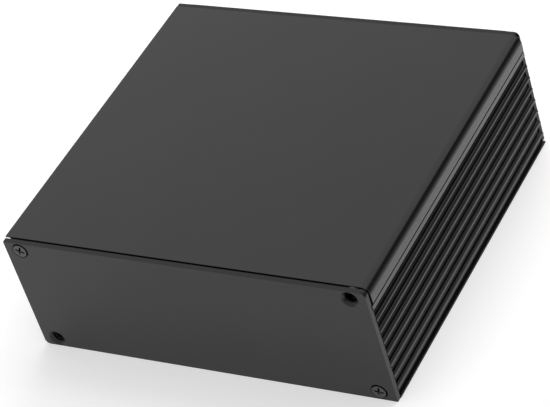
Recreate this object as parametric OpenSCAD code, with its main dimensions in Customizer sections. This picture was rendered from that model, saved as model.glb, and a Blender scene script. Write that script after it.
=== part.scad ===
// Split-body extruded aluminium enclosure.
// Two lengths of one extrusion, turned half a turn to each other about the long axis, slide
// together along two hooked seams. A flat panel at each end is held by countersunk screws that
// run into C-shaped screw ports in the extrusion.
// Frame: +X to the right seen from the front panel, the front panel faces -Y, +Z up, and the
// origin is under the middle of the case, on the surface that it stands on.

/* [Case] */
// Overall width across the ribbed walls
case_w = 108.2; // [90:0.1:160]
// Overall height of the closed case
case_h = 37.5; // [36:0.1:60]
// Length of the lower shell
shell_len = 100.2; // [40:0.1:250]
// Gap between the front panel and the shorter upper shell
front_gap = 0.65; // [0:0.05:1.5]
// Radius of the rounded long edge of each shell
edge_r = 2.6; // [1.5:0.1:4.5]

/* [Walls] */
// Thickness of the top and bottom plates
plate_t = 1.8; // [1.2:0.1:2.4]
// Thickness of the ribbed walls, ribs included
wall_t = 2.6; // [2.2:0.1:4]

/* [Ribs] */
// Distance from one rib to the next
rib_pitch = 3.94; // [2.5:0.01:6]
// Thickness of a rib
rib_t = 0.65; // [0.4:0.05:1.2]
// Depth of the grooves between the ribs
rib_depth = 1.0; // [0.5:0.05:1.4]
// Number of ribs below the flat land at the seam
rib_count = 7; // [2:1:9]
// Height of the flat land between the last groove and the seam
land_h = 1.45; // [1:0.05:3]
// Height of the ledge under the lowest groove
ledge_h = 0.45; // [0.3:0.05:1.5]

/* [Seam] */
// Open width of the seam line between the two shells
seam_gap = 0.35; // [0.1:0.05:0.5]
// Height of the lip that turns up beside the rounded edge
lip_h = 5.05; // [4.9:0.05:7]
// Thickness of the tongue on the lip
tongue_t = 1.3; // [0.9:0.1:2]
// Thickness of the keeper leg that stands behind the tongue
keeper_t = 1.1; // [0.8:0.1:2]
// Radius of the hooking beads on the tongue and the keeper
bead_r = 0.35; // [0.2:0.05:0.5]
// Sliding clearance round the tongue
slide_clear = 0.12; // [0.05:0.01:0.3]

/* [Screw ports] */
// Distance of the ports from the side of the case
port_inset_x = 5; // [4.5:0.05:8]
// Distance of the ports from the top or bottom of the case
port_inset_z = 2.65; // [2.4:0.05:4]
// Wall round a port's bore
port_wall = 1.15; // [0.8:0.05:1.6]
// Width of the slot along a port
port_slot = 1.0; // [0.5:0.1:1.4]

/* [Board slots] */
// Thickness of the circuit board that the slots take
board_t = 1.6; // [0.8:0.1:2.4]
// Play of the board in its slot
board_clear = 0.2; // [0.1:0.05:0.5]
// Number of slots, spread about mid-height
board_slots = 3; // [1:2:3]
// Distance from one slot to the next
board_pitch = 7.5; // [6:0.5:8]
// Thickness of the slot's two ribs
guide_t = 1.0; // [0.6:0.1:1.4]
// Reach of the slot's ribs from the wall
guide_reach = 2.4; // [1.5:0.1:4]

/* [Panels] */
// Thickness of each end panel
panel_t = 1.5; // [1.3:0.1:3]
// Radius of the panels' rounded corners, which stand out of the shells' rounded edges
corner_r = 1.5; // [0.5:0.1:4]
// Distance of the front panel's left edge from the side of the case
front_play = 0.5; // [0:0.05:1]
// Distance of the front panel's right edge from the side of the case
front_inset = 0.2; // [0:0.05:1]
// Distance of the rear panel's right edge from the side of the case
rear_play = 0.65; // [0:0.05:1]
// Distance of the rear panel's top edge below the top of the case
rear_drop = 0.1; // [0:0.05:0.6]
// Diameter of the screw holes in the panels
hole_d = 3.3; // [2.8:0.1:4]
// Diameter of the countersinks at the panel's face
sink_d = 5.0; // [4.8:0.1:6]

/* [Screws] */
// Diameter of the screw's shank
screw_d = 2.5; // [2:0.1:2.7]
// Diameter of the countersunk head
head_d = 4.5; // [4.2:0.1:4.7]
// Height of the cylindrical rim round the head
head_rim = 0.3; // [0.1:0.05:0.5]
// How far the head stands out of the panel's face
head_proud = 0.1; // [0:0.05:0.3]
// Length of the screw, head included
screw_len = 8; // [5:0.5:16]
// Clearance of the shank in its port and of the head's cone at the panel's hole
screw_clear = 0.05; // [0.02:0.01:0.1]
// Span of the cross recess
recess_w = 2.9; // [2:0.1:3.4]
// Width of the recess's arms
recess_t = 0.55; // [0.4:0.05:0.8]
// Depth of the cross recess
recess_depth = 1.1; // [0.6:0.1:1.4]
// Turn of the cross in each of the four screws, in the order of the nodes
recess_turn = [-21, -13, 12, 34]; // [-45:1:45]

/* [Hidden] */
$fn = 64;
overlap = 0.01;
half_w = case_w / 2;
front_y = -shell_len / 2;
rear_y = shell_len / 2;
groove_h = rib_pitch - rib_t;
wall_h = case_h - lip_h - seam_gap;
rib_base = wall_h - land_h - rib_count * rib_pitch;
wall_in = half_w - wall_t;
port_x = half_w - port_inset_x;
port_bore_r = screw_d / 2 + screw_clear;
port_r = port_bore_r + port_wall;
port_sides = [1, -1];
keeper_slot = tongue_t + bead_r + 2 * slide_clear;
keeper_in = wall_in - keeper_slot;
bead_edge = 0.6;
tongue_end = 0.55;
slot_end = 0.3;
keeper_floor_t = 1.2;
keeper_bead_z = wall_h - bead_edge;
tongue_bead_z = keeper_bead_z - 2 * bead_r - slide_clear;
keeper_floor_z = tongue_bead_z - tongue_end - slot_end;
sink_depth = (sink_d - hole_d) / 2;
head_h = sink_depth + head_proud;

// ---------- the extrusion's section, drawn as the lower shell seen from the front ----------

// Flat plate, with its rounded edge and solid corner on the left and its sharp edge on the right.
module plate_section() {
    translate([-half_w + edge_r, 0])
        square([case_w - edge_r, plate_t]);
    translate([-half_w + edge_r, 0])
        square([port_inset_x - edge_r, lip_h]);
    translate([-half_w, edge_r])
        square([port_inset_x, lip_h - edge_r]);
    translate([-half_w + edge_r, edge_r])
        circle(r = edge_r);
}

// Wall on the right, with grooves that leave ribs below a flat land and a ledge at the foot.
module ribbed_wall_section() {
    difference() {
        translate([wall_in, 0])
            square([wall_t, wall_h]);
        for (i = [0 : rib_count]) {
            top = rib_base + i * rib_pitch;
            foot = max(ledge_h, top - groove_h);
            if (top > foot)
                translate([half_w - rib_depth, foot])
                    square([rib_depth + overlap, top - foot]);
        }
    }
}

// Tongue on the left lip. A bead at its end hooks under the bead on the other shell's keeper.
module tongue_section() {
    foot = lip_h - overlap;
    tip = case_h - tongue_bead_z + tongue_end;
    face = -wall_in + slide_clear;
    translate([face, foot])
        square([tongue_t, tip - foot]);
    translate([face + tongue_t, case_h - tongue_bead_z])
        circle(r = bead_r);
}

// Keeper inside the ribbed wall: a floor and a leg with a bead, open upwards for the tongue.
module keeper_section() {
    translate([keeper_in - keeper_t, keeper_floor_z - keeper_floor_t])
        square([keeper_slot + keeper_t + overlap, keeper_floor_t]);
    translate([keeper_in - keeper_t, keeper_floor_z - overlap])
        square([keeper_t, wall_h - keeper_floor_z + overlap]);
    translate([keeper_in, keeper_bead_z])
        circle(r = bead_r);
}

// Ring of each screw port. A web joins the one on the right to the ribbed wall.
module port_section() {
    for (side = port_sides)
        translate([side * port_x, port_inset_z])
            circle(r = port_r);
    translate([port_x, 0])
        square([port_inset_x - wall_t + overlap, port_inset_z + port_bore_r]);
}

// Bore of each screw port, and the slot that opens it towards the inside of the case.
module port_bore_section() {
    for (side = port_sides)
        translate([side * port_x, port_inset_z]) {
            circle(r = port_bore_r);
            rotate(90 + side * 45)
                translate([0, -port_slot / 2])
                    square([port_r + port_wall, port_slot]);
        }
}

// Pairs of ribs on the inside of the wall, which guide the edge of a circuit board.
module board_guide_section() {
    gap = board_t + board_clear;
    for (i = [0 : board_slots - 1], side = port_sides) {
        slot_z = case_h / 2 + (i - (board_slots - 1) / 2) * board_pitch;
        translate([wall_in - guide_reach, slot_z + side * (gap + guide_t) / 2 - guide_t / 2])
            square([guide_reach + overlap, guide_t]);
    }
}

// Whole section of one shell.
module shell_section() {
    difference() {
        union() {
            plate_section();
            ribbed_wall_section();
            tongue_section();
            keeper_section();
            port_section();
            board_guide_section();
        }
        port_bore_section();
        // nothing of a port's ring reaches out of the flat plate or the rounded corner
        translate([-half_w, -port_r])
            square([case_w, port_r]);
    }
}

// Extrudes a section drawn in X and Z, from y_from to y_to.
module extrude_y(y_from, y_to) {
    translate([0, y_to, 0])
        rotate([90, 0, 0])
            linear_extrude(height = y_to - y_from)
                children();
}

// ---------- the shells ----------

module lower_shell() {
    color([0.07, 0.07, 0.07])
        extrude_y(front_y, rear_y)
            shell_section();
}

// The same extrusion turned half a turn about the long axis, and cut a little shorter.
module upper_shell() {
    color([0.07, 0.07, 0.07])
        translate([0, 0, case_h])
            rotate([0, 180, 0])
                extrude_y(front_y + front_gap, rear_y)
                    shell_section();
}

// ---------- the end panels ----------

// Plate outline, sharp at the shells' sharp edges and rounded like their rounded edges.
module panel_outline(left_inset, right_inset, top_inset) {
    left = -half_w + left_inset;
    width = case_w - left_inset - right_inset;
    height = case_h - top_inset;
    translate([left + corner_r, 0])
        square([width - corner_r, height - corner_r]);
    translate([left, corner_r])
        square([width - corner_r, height - corner_r]);
    translate([left + corner_r, corner_r])
        circle(r = corner_r);
    translate([left + width - corner_r, height - corner_r])
        circle(r = corner_r);
}

// Countersunk hole along +Y, with its mouth at the origin.
module panel_hole() {
    rotate([-90, 0, 0]) {
        translate([0, 0, -overlap])
            cylinder(h = panel_t + 2 * overlap, d = hole_d);
        translate([0, 0, -overlap])
            cylinder(h = sink_depth + overlap, d1 = sink_d + 2 * overlap, d2 = hole_d);
    }
}

// Panel with a hole over each screw port. It lies between y = 0 and panel_t, face at y = 0.
module end_panel(left_inset, right_inset, top_inset) {
    difference() {
        extrude_y(0, panel_t)
            panel_outline(left_inset, right_inset, top_inset);
        for (x = [-port_x, port_x], z = [port_inset_z, case_h - port_inset_z])
            translate([x, 0, z])
                panel_hole();
    }
}

module front_panel() {
    color([0.08, 0.08, 0.08])
        translate([0, front_y - panel_t, 0])
            end_panel(front_play, front_inset, 0);
}

// The same plate with its countersinks to the rear. It lies flush with the case on the left.
module rear_panel() {
    color([0.08, 0.08, 0.08])
        translate([0, rear_y + panel_t, 0])
            mirror([0, 1, 0])
                end_panel(0, rear_play, rear_drop);
}

// ---------- the screws ----------

// One arm of the cross recess, narrowing towards its bottom. The head's face is at z = 0.
module recess_arm() {
    top = recess_w / 2;
    bottom = recess_w / 5;
    rotate([90, 0, 0])
        linear_extrude(height = recess_t, center = true)
            polygon([[-top, -overlap], [top, -overlap], [bottom, recess_depth],
                [-bottom, recess_depth]]);
}

// Countersunk screw along +Y, with the face of its head at the origin. Its cone narrows to the
// panel's hole, and a shorter one below leads into the shank.
module panel_screw(turn) {
    neck_d = hole_d - 2 * screw_clear;
    neck_h = (neck_d - screw_d) / 2;
    point_h = screw_d / 2;
    rotate([-90, 0, 0])
        difference() {
            union() {
                cylinder(h = head_rim, d = head_d);
                translate([0, 0, head_rim])
                    cylinder(h = head_h - head_rim, d1 = head_d, d2 = neck_d);
                translate([0, 0, head_h])
                    cylinder(h = neck_h, d1 = neck_d, d2 = screw_d);
                cylinder(h = screw_len - point_h, d = screw_d);
                translate([0, 0, screw_len - point_h])
                    cylinder(h = point_h, d1 = screw_d, d2 = screw_d / 3);
            }
            for (arm = [0, 90])
                rotate(turn + arm)
                    recess_arm();
        }
}

// A screw at the front panel: side is -1 for the upper shell's port and 1 for the lower shell's.
module front_screw(side, turn) {
    color([0.16, 0.16, 0.16])
        translate([side * port_x, front_y - panel_t - head_proud, screw_z(side)])
            panel_screw(turn);
}

// A screw at the rear panel, in the far end of the same port.
module rear_screw(side, turn) {
    color([0.16, 0.16, 0.16])
        translate([side * port_x, rear_y + panel_t + head_proud, screw_z(side)])
            mirror([0, 1, 0])
                panel_screw(turn);
}

// Height of the port beside the ribbed wall of the shell on that side.
function screw_z(side) = side < 0 ? case_h - port_inset_z : port_inset_z;

module front_screw_upper() { front_screw(-1, recess_turn[0]); }
module front_screw_lower() { front_screw(1, recess_turn[1]); }
module rear_screw_upper() { rear_screw(-1, recess_turn[2]); }
module rear_screw_lower() { rear_screw(1, recess_turn[3]); }

upper_shell();
lower_shell();
front_panel();
rear_panel();
front_screw_upper();
front_screw_lower();
rear_screw_upper();
rear_screw_lower();
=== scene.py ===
"""Studio scene of the extruded aluminium enclosure: materials, finer shapes, floor, light, camera.

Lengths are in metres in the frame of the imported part: +X to the right seen from the front panel,
which faces -Y, and +Z up from the floor.
"""
import math

import bmesh
import bpy
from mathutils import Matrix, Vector

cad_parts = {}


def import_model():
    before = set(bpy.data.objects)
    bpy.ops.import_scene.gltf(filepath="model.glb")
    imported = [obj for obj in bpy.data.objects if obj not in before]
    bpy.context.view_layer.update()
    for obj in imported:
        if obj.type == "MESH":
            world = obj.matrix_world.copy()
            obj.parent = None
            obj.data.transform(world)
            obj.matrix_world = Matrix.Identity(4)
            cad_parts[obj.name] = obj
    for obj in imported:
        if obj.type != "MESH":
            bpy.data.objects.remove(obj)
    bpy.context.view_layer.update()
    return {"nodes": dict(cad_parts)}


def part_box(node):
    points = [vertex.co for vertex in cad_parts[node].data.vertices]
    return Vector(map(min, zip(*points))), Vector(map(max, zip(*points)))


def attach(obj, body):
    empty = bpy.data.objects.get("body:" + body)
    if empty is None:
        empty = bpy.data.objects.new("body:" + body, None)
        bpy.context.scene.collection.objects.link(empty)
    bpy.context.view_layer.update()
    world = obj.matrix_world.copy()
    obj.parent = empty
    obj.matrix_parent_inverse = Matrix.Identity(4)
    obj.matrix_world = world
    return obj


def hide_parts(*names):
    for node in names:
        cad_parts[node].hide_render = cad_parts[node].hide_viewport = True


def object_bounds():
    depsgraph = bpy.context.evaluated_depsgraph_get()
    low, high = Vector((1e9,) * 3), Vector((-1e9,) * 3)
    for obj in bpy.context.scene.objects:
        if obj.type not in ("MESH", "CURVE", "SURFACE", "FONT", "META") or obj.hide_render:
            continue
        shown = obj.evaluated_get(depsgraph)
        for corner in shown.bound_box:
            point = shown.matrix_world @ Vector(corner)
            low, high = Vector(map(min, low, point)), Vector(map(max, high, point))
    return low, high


MM = 0.001

# ---------- camera ----------
VIEW_AZIMUTH = 38.165  # degrees from the front panel's side towards +X
VIEW_ELEVATION = 38.220
VIEW_ROLL = -18.621
VIEW_DISTANCE = 672.48 * MM
VIEW_TARGET = Vector((-1.05, -3.42, 16.26)) * MM
SENSOR_WIDTH = 36.0
FOCAL_LENGTH = 162.96

# ---------- the ribbed walls' profile ----------
PACKED_GROOVE = 1.0 * MM  # the grooves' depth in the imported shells
PACKED_LEDGE = 1.8 * MM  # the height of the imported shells' lowest ledge
GROOVE_DEPTH = 1.45 * MM
LEDGE_HEIGHT = 0.45 * MM
RIB_GROWTH = 0.45 * MM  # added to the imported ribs' thickness, on the upper side
RIB_ROUNDING = 0.95 * MM  # of the shoulder where a rib's upper face meets its tip
LEDGE_ROUNDING = 0.25 * MM
COVE_REACH = 0.25 * MM  # of the cove where a rib's upper face meets the groove's floor
LEDGE_TOP = 2 * MM  # the ledge lies below this height, and the ribs above it
LAND_FOOT = 30 * MM  # height of the flat land above the ribs

# ---------- the rear panel ----------
REAR_SET_IN = 0.35 * MM  # how far its right side moves in
REAR_BAND = 1.6 * MM  # width of the strip that moves, which takes in the rounded corners

# ---------- the screws ----------
HEAD_TRIM = 0.28 * MM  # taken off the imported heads' radius
NECK_RADIUS = 1.6 * MM  # inside this radius the screw keeps its shape
# degrees that each screw is turned from its packed place, counter-clockwise seen from the front
SCREW_TURNS = {"front_screw_upper": -40, "front_screw_lower": -21,
               "rear_screw_upper": 0, "rear_screw_lower": 0}

# ---------- meshes ----------
NEAR = 0.01 * MM  # how far a point may lie from the height or depth that it is looked for at
MERGE_DISTANCE = 0.001 * MM
FLAT_ANGLE = math.radians(0.5)  # faces that meet at less become one face
SMOOTH_ANGLE = math.radians(33)
BEVEL_ANGLE = math.radians(35)
EDGE_WIDTH = 0.12 * MM  # of the bevel on every sharp edge
SQUARE_ON = 0.99  # least share of a normal along an axis, for a flat face that looks along it
NEARLY_ON = 0.9  # the same beside a rounded edge
SIDEWAYS = 0.5  # the same for a panel's side with half of its rounded corners

# ---------- anodised aluminium: colour, roughness, IOR ----------
SHELL_LOOK = (0.008, 0.22, 1.69)
PANEL_LOOK = (0.010, 0.34, 1.45)
# The groove look is painted shade on the groove floors: a darker colour and a weaker reflection
# than the shell's. The rear panel's side, seen at the grooves' ends, gets the same darker look.
GROOVE_SHADE_LOOK = (0.006, 0.15, 1.2)
GRAIN_SCALE = 2600.0
GRAIN_STRENGTH = 0.12
GRAIN_DEPTH = 0.02 * MM
CLOUD_SCALE = 60.0
CLOUD_ROUGHNESS = 0.03  # how much rougher or smoother than its mean the metal is in places

# ---------- blackened steel ----------
SCREW_COLOR = 0.09
SPOT_SCALE = 900.0
SCREW_ROUGHNESS = (0.3, 0.5)

# ---------- studio ----------
FLOOR_SIZE = 6.0
FLOOR_COLOR = 0.8
FLOOR_GLOW = 0.4
WORLD_LIGHT = 0.8
SKY_TOP = 0.76
SKY_FADE = (0.48, 0.62)  # the sines of the elevations between which white turns to SKY_TOP
CARD_HEIGHT = 41 * MM  # height above the floor at which the card is darkest
CARD_TONES = (0.95, 0.02)  # at the floor and at that height


def node_tree(owner):
    """Empties the owner's node tree and returns it."""
    owner.use_nodes = True
    owner.node_tree.nodes.clear()
    return owner.node_tree


def add_node(tree, kind, inputs=None, **settings):
    """Adds a node, sets its properties and fills its inputs with values or links."""
    node = tree.nodes.new(kind)
    for name, value in settings.items():
        setattr(node, name, value)
    for name, value in (inputs or {}).items():
        if isinstance(value, bpy.types.NodeSocket):
            tree.links.new(value, node.inputs[name])
        else:
            node.inputs[name].default_value = value
    return node


def grey(value):
    """The colour with the same linear value in each channel."""
    return (value, value, value, 1.0)


def anodised(name, color, roughness, ior):
    """Black anodised aluminium with a fine blasted grain and a slightly uneven gloss."""
    material = bpy.data.materials.new(name)
    tree = node_tree(material)
    place = add_node(tree, "ShaderNodeTexCoord").outputs["Object"]
    fine = add_node(tree, "ShaderNodeTexNoise", {
        "Vector": place, "Scale": GRAIN_SCALE, "Detail": 2.0})
    cloud = add_node(tree, "ShaderNodeTexNoise", {
        "Vector": place, "Scale": CLOUD_SCALE, "Detail": 3.0})
    rough = add_node(tree, "ShaderNodeMapRange", {
        "Value": cloud.outputs["Fac"], "From Min": 0.3, "From Max": 0.7,
        "To Min": roughness - CLOUD_ROUGHNESS, "To Max": roughness + CLOUD_ROUGHNESS})
    bump = add_node(tree, "ShaderNodeBump", {
        "Height": fine.outputs["Fac"], "Strength": GRAIN_STRENGTH, "Distance": GRAIN_DEPTH})
    shader = add_node(tree, "ShaderNodeBsdfPrincipled", {
        "Base Color": grey(color), "Roughness": rough.outputs["Result"],
        "IOR": ior, "Normal": bump.outputs["Normal"]})
    add_node(tree, "ShaderNodeOutputMaterial", {"Surface": shader.outputs["BSDF"]})
    return material


def blackened_steel(name):
    """Dark plated steel with a spotty gloss."""
    material = bpy.data.materials.new(name)
    tree = node_tree(material)
    place = add_node(tree, "ShaderNodeTexCoord").outputs["Object"]
    spots = add_node(tree, "ShaderNodeTexNoise", {
        "Vector": place, "Scale": SPOT_SCALE, "Detail": 3.0})
    rough = add_node(tree, "ShaderNodeMapRange", {
        "Value": spots.outputs["Fac"], "To Min": SCREW_ROUGHNESS[0], "To Max": SCREW_ROUGHNESS[1]})
    shader = add_node(tree, "ShaderNodeBsdfPrincipled", {
        "Base Color": grey(SCREW_COLOR), "Metallic": 1.0, "Roughness": rough.outputs["Result"]})
    add_node(tree, "ShaderNodeOutputMaterial", {"Surface": shader.outputs["BSDF"]})
    return material


def round_over(shape, edges, reach, segments):
    """Rounds the edges of a bmesh, or fills them with a cove where they are hollow."""
    bmesh.ops.bevel(shape, geom=edges, offset=reach, offset_type="OFFSET", segments=segments,
                    profile=0.5, affect="EDGES", clamp_overlap=True)


def long_edges(shape, place, side, depth, lowest):
    """The lengthwise edges of the ribs and the ledge at that depth in the wall and above the
    height lowest, where an upper face meets an outward face."""
    found = []
    for edge in shape.edges:
        ends = [place(vert.co) for vert in edge.verts]
        facing = [face.normal * side for face in edge.link_faces]
        if (all(abs(end[0] - depth) < NEAR and lowest < end[1] < LAND_FOOT for end in ends)
                and any(n.x > NEARLY_ON for n in facing)
                and any(n.z > NEARLY_ON for n in facing)):
            found.append(edge)
    return found


def packed_shape(frame, name):
    """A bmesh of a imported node, with whole flat faces."""
    shape = bmesh.new()
    shape.from_mesh(frame["nodes"][name].data)
    bmesh.ops.remove_doubles(shape, verts=shape.verts, dist=MERGE_DISTANCE)
    bmesh.ops.dissolve_limit(shape, angle_limit=FLAT_ANGLE, verts=shape.verts, edges=shape.edges)
    return shape


def stand_in(shape, name, ending):
    """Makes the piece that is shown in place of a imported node."""
    piece_name = name + "_" + ending
    mesh = bpy.data.meshes.new(piece_name)
    shape.to_mesh(mesh)
    shape.free()
    mesh.shade_smooth()
    mesh.set_sharp_from_angle(angle=SMOOTH_ANGLE)
    piece = bpy.data.objects.new(piece_name, mesh)
    bpy.context.collection.objects.link(piece)
    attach(piece, "root")
    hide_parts(name)
    return piece


def ribbed_shell(frame, name, side):
    """A shell with the ribs of the photo: deeper grooves and thicker ribs, each with a rounded
    shoulder and a small cove at its root, above a low ledge.

    side is 1 for the shell with its ribs on the right. The other one is the same profile turned
    over, so that the upper faces meant here look down on it.
    """
    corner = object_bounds()[1]

    def place(point):
        """Depth in the ribbed wall, and height above the shell's own plate."""
        return (corner.x - side * point.x, point.z if side > 0 else corner.z - point.z)

    shape = packed_shape(frame, name)
    for face in shape.faces:
        spots = [place(vert.co) for vert in face.verts]
        if face.normal.z * side > SQUARE_ON and all(
                min(abs(depth), abs(depth - PACKED_GROOVE)) < NEAR for depth, _ in spots):
            on_ledge = abs(spots[0][1] - PACKED_LEDGE) < NEAR
            lift = LEDGE_HEIGHT - PACKED_LEDGE if on_ledge else RIB_GROWTH
            for vert in face.verts:
                vert.co.z += side * lift
    for vert in shape.verts:
        if abs(place(vert.co)[0] - PACKED_GROOVE) < NEAR:
            vert.co.x -= side * (GROOVE_DEPTH - PACKED_GROOVE)
    shape.normal_update()
    round_over(shape, long_edges(shape, place, side, GROOVE_DEPTH, 0.0), COVE_REACH,
               segments=3)
    shape.normal_update()
    round_over(shape, long_edges(shape, place, side, 0.0, LEDGE_TOP), RIB_ROUNDING,
               segments=6)
    shape.normal_update()
    ledge = [edge for edge in long_edges(shape, place, side, 0.0, 0.0)
             if place(edge.verts[0].co)[1] < LEDGE_TOP]
    round_over(shape, ledge, LEDGE_ROUNDING, segments=3)
    shape.normal_update()
    # The groove floors take the second material, which is painted shade that darkens them.
    for face in shape.faces:
        depth = place(face.calc_center_median())[0]
        if face.normal.x * side > SQUARE_ON and abs(depth - GROOVE_DEPTH) < NEAR:
            face.material_index = 1
    return stand_in(shape, name, "profile")


def seated_screw(frame, name, turn):
    """A screw turned in place, whose narrower head leaves a dark ring in its countersink."""
    shape = packed_shape(frame, name)
    low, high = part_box(name)
    middle = (low + high) / 2
    rim = (high.x - low.x) / 2
    angle = math.radians(turn)
    for vert in shape.verts:
        x, z = vert.co.x - middle.x, vert.co.z - middle.z
        reach = math.hypot(x, z)
        grow = 1 - HEAD_TRIM / rim * min(1, max(0, (reach - NECK_RADIUS) / (rim - NECK_RADIUS)))
        vert.co.x = middle.x + grow * (x * math.cos(angle) - z * math.sin(angle))
        vert.co.z = middle.z + grow * (x * math.sin(angle) + z * math.cos(angle))
    return stand_in(shape, name, "seated")


def rear_panel_edge(frame):
    """The rear panel, set in a little beside the ribs, with its cut edge in the second material,
    darker and less glossy, which shows at the grooves' ends.
    """
    shape = packed_shape(frame, "rear_panel")
    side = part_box("rear_panel")[1].x
    for vert in shape.verts:
        if vert.co.x > side - REAR_BAND:
            vert.co.x -= REAR_SET_IN
    for face in shape.faces:
        if face.normal.x > SIDEWAYS:
            face.material_index = 1
    return stand_in(shape, "rear_panel", "set_in")


def dress(node, *materials):
    """Gives a piece its materials and softly broken edges."""
    if node.data.materials:  # clear() also resets which material each face of a stand-in has
        node.data.materials.clear()
    for material in materials:
        node.data.materials.append(material)
    weld = node.modifiers.new("weld", "WELD")
    weld.merge_threshold = MERGE_DISTANCE
    bevel = node.modifiers.new("edges", "BEVEL")
    bevel.width = EDGE_WIDTH
    bevel.segments = 2
    bevel.limit_method = "ANGLE"
    bevel.angle_limit = BEVEL_ANGLE
    bevel.harden_normals = True


def backdrop_rays(tree):
    """1 on the rays that show the background: from the camera, in a reflection or through glass."""
    path = add_node(tree, "ShaderNodeLightPath")
    total = path.outputs["Is Camera Ray"]
    for name in ("Is Glossy Ray", "Is Transmission Ray"):
        total = add_node(tree, "ShaderNodeMath", {0: total, 1: path.outputs[name]},
                         operation="MAXIMUM").outputs["Value"]
    return total


def make_floor():
    """A pale floor that shows white round the object and keeps its shadow."""
    bpy.ops.mesh.primitive_plane_add(size=FLOOR_SIZE)
    floor = bpy.context.object
    floor.name = "floor"
    material = bpy.data.materials.new("floor")
    tree = node_tree(material)
    diffuse = add_node(tree, "ShaderNodeBsdfDiffuse", {"Color": grey(FLOOR_COLOR)})
    strength = add_node(tree, "ShaderNodeMath", {0: backdrop_rays(tree), 1: FLOOR_GLOW},
                        operation="MULTIPLY")
    glow = add_node(tree, "ShaderNodeEmission", {"Strength": strength.outputs["Value"]})
    both = add_node(tree, "ShaderNodeAddShader", {0: diffuse.outputs["BSDF"],
                                                  1: glow.outputs["Emission"]})
    add_node(tree, "ShaderNodeOutputMaterial", {"Surface": both.outputs["Shader"]})
    floor.data.materials.append(material)


def make_world():
    """A studio that is white round the horizon and greyer overhead, and an even light."""
    world = bpy.data.worlds.new("studio")
    bpy.context.scene.world = world
    tree = node_tree(world)
    direction = add_node(tree, "ShaderNodeTexCoord").outputs["Generated"]
    height = add_node(tree, "ShaderNodeSeparateXYZ", {"Vector": direction}).outputs["Z"]
    sky = add_node(tree, "ShaderNodeMapRange", {
        "Value": height, "From Min": SKY_FADE[0], "From Max": SKY_FADE[1],
        "To Min": 1.0, "To Max": SKY_TOP}, interpolation_type="SMOOTHSTEP")
    strength = add_node(tree, "ShaderNodeMapRange", {
        "Value": backdrop_rays(tree), "To Min": WORLD_LIGHT, "To Max": sky.outputs["Result"]})
    background = add_node(tree, "ShaderNodeBackground", {"Strength": strength.outputs["Result"]})
    add_node(tree, "ShaderNodeOutputWorld", {"Surface": background.outputs["Background"]})


def polar(azimuth, elevation, distance):
    """The point at that azimuth from the front towards +X, elevation and distance."""
    a = math.radians(azimuth)
    e = math.radians(elevation)
    return Vector((math.sin(a) * math.cos(e), -math.cos(a) * math.cos(e), math.sin(e))) * distance


def aim(thing, target):
    """Turns the thing's -Z towards the target."""
    direction = target - thing.location
    thing.rotation_euler = direction.to_track_quat("-Z", "Y").to_euler()


def make_lamp(name, azimuth, elevation, distance, size, power):
    """A soft square lamp, aimed at the object and left out of its reflections."""
    light = bpy.data.lights.new(name, "AREA")
    light.size = size
    light.energy = power
    lamp = bpy.data.objects.new(name, light)
    bpy.context.collection.objects.link(lamp)
    lamp.location = polar(azimuth, elevation, distance)
    aim(lamp, Vector((0, 0, 0)))
    lamp.visible_glossy = False


def make_card(name, place, azimuth, width, height):
    """An upright card that only reflections see, white at the floor and black above: it gives the
    rounded edge and the ribs their dark bands. Its place, width and height are in mm."""
    bpy.ops.mesh.primitive_plane_add(size=1.0)
    card = bpy.context.object
    card.name = name
    card.scale = (width * MM, height * MM, 1)
    card.location = Vector(place) * MM
    card.rotation_euler = (math.radians(90), 0, math.radians(azimuth))
    material = bpy.data.materials.new(name)
    tree = node_tree(material)
    position = add_node(tree, "ShaderNodeNewGeometry").outputs["Position"]
    rise = add_node(tree, "ShaderNodeSeparateXYZ", {"Vector": position}).outputs["Z"]
    tone = add_node(tree, "ShaderNodeMapRange", {
        "Value": rise, "From Min": 0.0, "From Max": CARD_HEIGHT,
        "To Min": CARD_TONES[0], "To Max": CARD_TONES[1]})
    glow = add_node(tree, "ShaderNodeEmission", {"Strength": tone.outputs["Result"]})
    add_node(tree, "ShaderNodeOutputMaterial", {"Surface": glow.outputs["Emission"]})
    card.data.materials.append(material)
    card.visible_camera = False
    card.visible_diffuse = False
    card.visible_shadow = False


def make_camera():
    """The camera of the photo's view."""
    camera_data = bpy.data.cameras.new("camera")
    camera_data.sensor_width = SENSOR_WIDTH
    camera_data.lens = FOCAL_LENGTH
    camera = bpy.data.objects.new("camera", camera_data)
    bpy.context.collection.objects.link(camera)
    camera.location = VIEW_TARGET + polar(VIEW_AZIMUTH, VIEW_ELEVATION, VIEW_DISTANCE)
    aim(camera, VIEW_TARGET)
    camera.rotation_euler.rotate_axis("Z", math.radians(VIEW_ROLL))
    bpy.context.scene.camera = camera


def main():
    """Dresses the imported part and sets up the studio."""
    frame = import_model()
    shell = anodised("anodised_shell", *SHELL_LOOK)
    panel = anodised("anodised_panel", *PANEL_LOOK)
    steel = blackened_steel("blackened_steel")
    groove = anodised("painted_groove_shade", *GROOVE_SHADE_LOOK)
    for name, turn in SCREW_TURNS.items():
        dress(seated_screw(frame, name, turn), steel)
    dress(frame["nodes"]["front_panel"], panel)
    dress(rear_panel_edge(frame), panel, groove)
    for name, side in (("lower_shell", 1), ("upper_shell", -1)):
        dress(ribbed_shell(frame, name, side), shell, groove)
    make_floor()
    make_world()
    make_lamp("key", azimuth=175, elevation=55, distance=1.2, size=1.0, power=6.0)
    make_card("flag", place=(86, 75, 35), azimuth=90, width=350, height=70)
    make_camera()
    bpy.context.scene.view_settings.view_transform = "Standard"


main()
